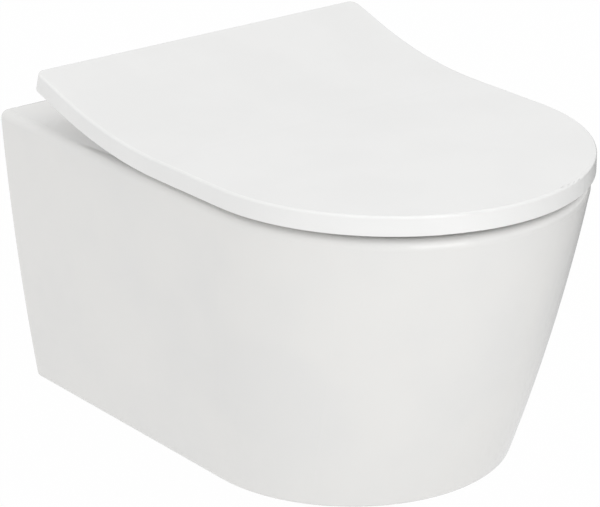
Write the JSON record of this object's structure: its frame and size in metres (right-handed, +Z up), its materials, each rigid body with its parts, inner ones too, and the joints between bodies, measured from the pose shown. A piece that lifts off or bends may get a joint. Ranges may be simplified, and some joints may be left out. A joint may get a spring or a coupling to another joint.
{
  "type": "wall hung toilet",
  "caption": "Wall hung toilet with a smooth D-shaped ceramic pan, a slim seat and a wrap-over cover that sweeps up at the soft-close hinges.",
  "frame": {"origin": "on the wall face, halfway between the two wall fixing holes", "axes": "+X to the right of a person who faces the toilet, +Y into the wall, +Z up"},
  "size_m": [0.3736, 0.5409, 0.3378],
  "materials": {
    "glaze": "glossy white glaze",
    "duroplast": "satin gloss white thermoset",
    "hinge_chrome": "bright plated zinc",
    "hinge_steel": "turned stainless steel",
    "zinc_steel": "zinc plated steel",
    "button_plastic": "satin grey plastic",
    "damper_plastic": "black moulded plastic",
    "bush_plastic": "natural nylon",
    "soft_rubber": "clear grey silicone",
    "sleeve_rubber": "black rubber",
    "buffer_rubber": "soft white elastomer"
  },
  "bodies": {
    "pan": {"ceramic_pan": "glaze", "wall_bracket_left": "zinc_steel", "wall_bracket_right": "zinc_steel", "stud_washers": "zinc_steel", "stud_nuts": "zinc_steel", "shelf_bushes": "bush_plastic", "clamp_screws": "zinc_steel", "hinge_post_left": "hinge_steel", "hinge_post_right": "hinge_steel", "deck_gaskets": "soft_rubber", "expansion_sleeves": "sleeve_rubber", "cone_nuts": "bush_plastic"},
    "hinge_carrier": {"hinge_block_left": "hinge_chrome", "hinge_block_right": "hinge_chrome", "seat_damper": "damper_plastic", "cover_damper": "damper_plastic", "seat_bush": "damper_plastic", "cover_bush": "damper_plastic", "button_spring_left": "hinge_steel", "button_spring_right": "hinge_steel"},
    "button_left": {"release_button_left": "button_plastic"},
    "button_right": {"release_button_right": "button_plastic"},
    "seat": {"seat_ring": "duroplast", "seat_buffers": "buffer_rubber", "seat_damper_shaft": "hinge_steel", "seat_pin": "hinge_steel"},
    "cover": {"seat_cover": "duroplast", "cover_buffers": "buffer_rubber", "cover_damper_shaft": "hinge_steel", "cover_pin": "hinge_steel"}
  },
  "joints": [
    {"name": "lift_off", "type": "slide", "parent": "pan", "child": "hinge_carrier", "axis": [0, 0, 1], "range_m": [0, 0.03]},
    {"name": "button_press_left", "type": "slide", "parent": "hinge_carrier", "child": "button_left", "axis": [0, 1, 0], "range_m": [0, 0.0025], "stiffness_N_per_m": 300, "springref_m": -0.0015, "deforming": ["button_spring_left"]},
    {"name": "button_press_right", "type": "slide", "parent": "hinge_carrier", "child": "button_right", "axis": [0, 1, 0], "range_m": [0, 0.0025], "stiffness_N_per_m": 300, "springref_m": -0.0015, "deforming": ["button_spring_right"]},
    {"name": "seat_hinge", "type": "hinge", "parent": "hinge_carrier", "child": "seat", "pos_m": [0, -0.088, 0.102], "axis": [-1, 0, 0], "range_deg": [0, 95]},
    {"name": "cover_hinge", "type": "hinge", "parent": "seat", "child": "cover", "pos_m": [0, -0.088, 0.102], "axis": [1, 0, 0], "range_deg": [-95, 0]}
  ]
}
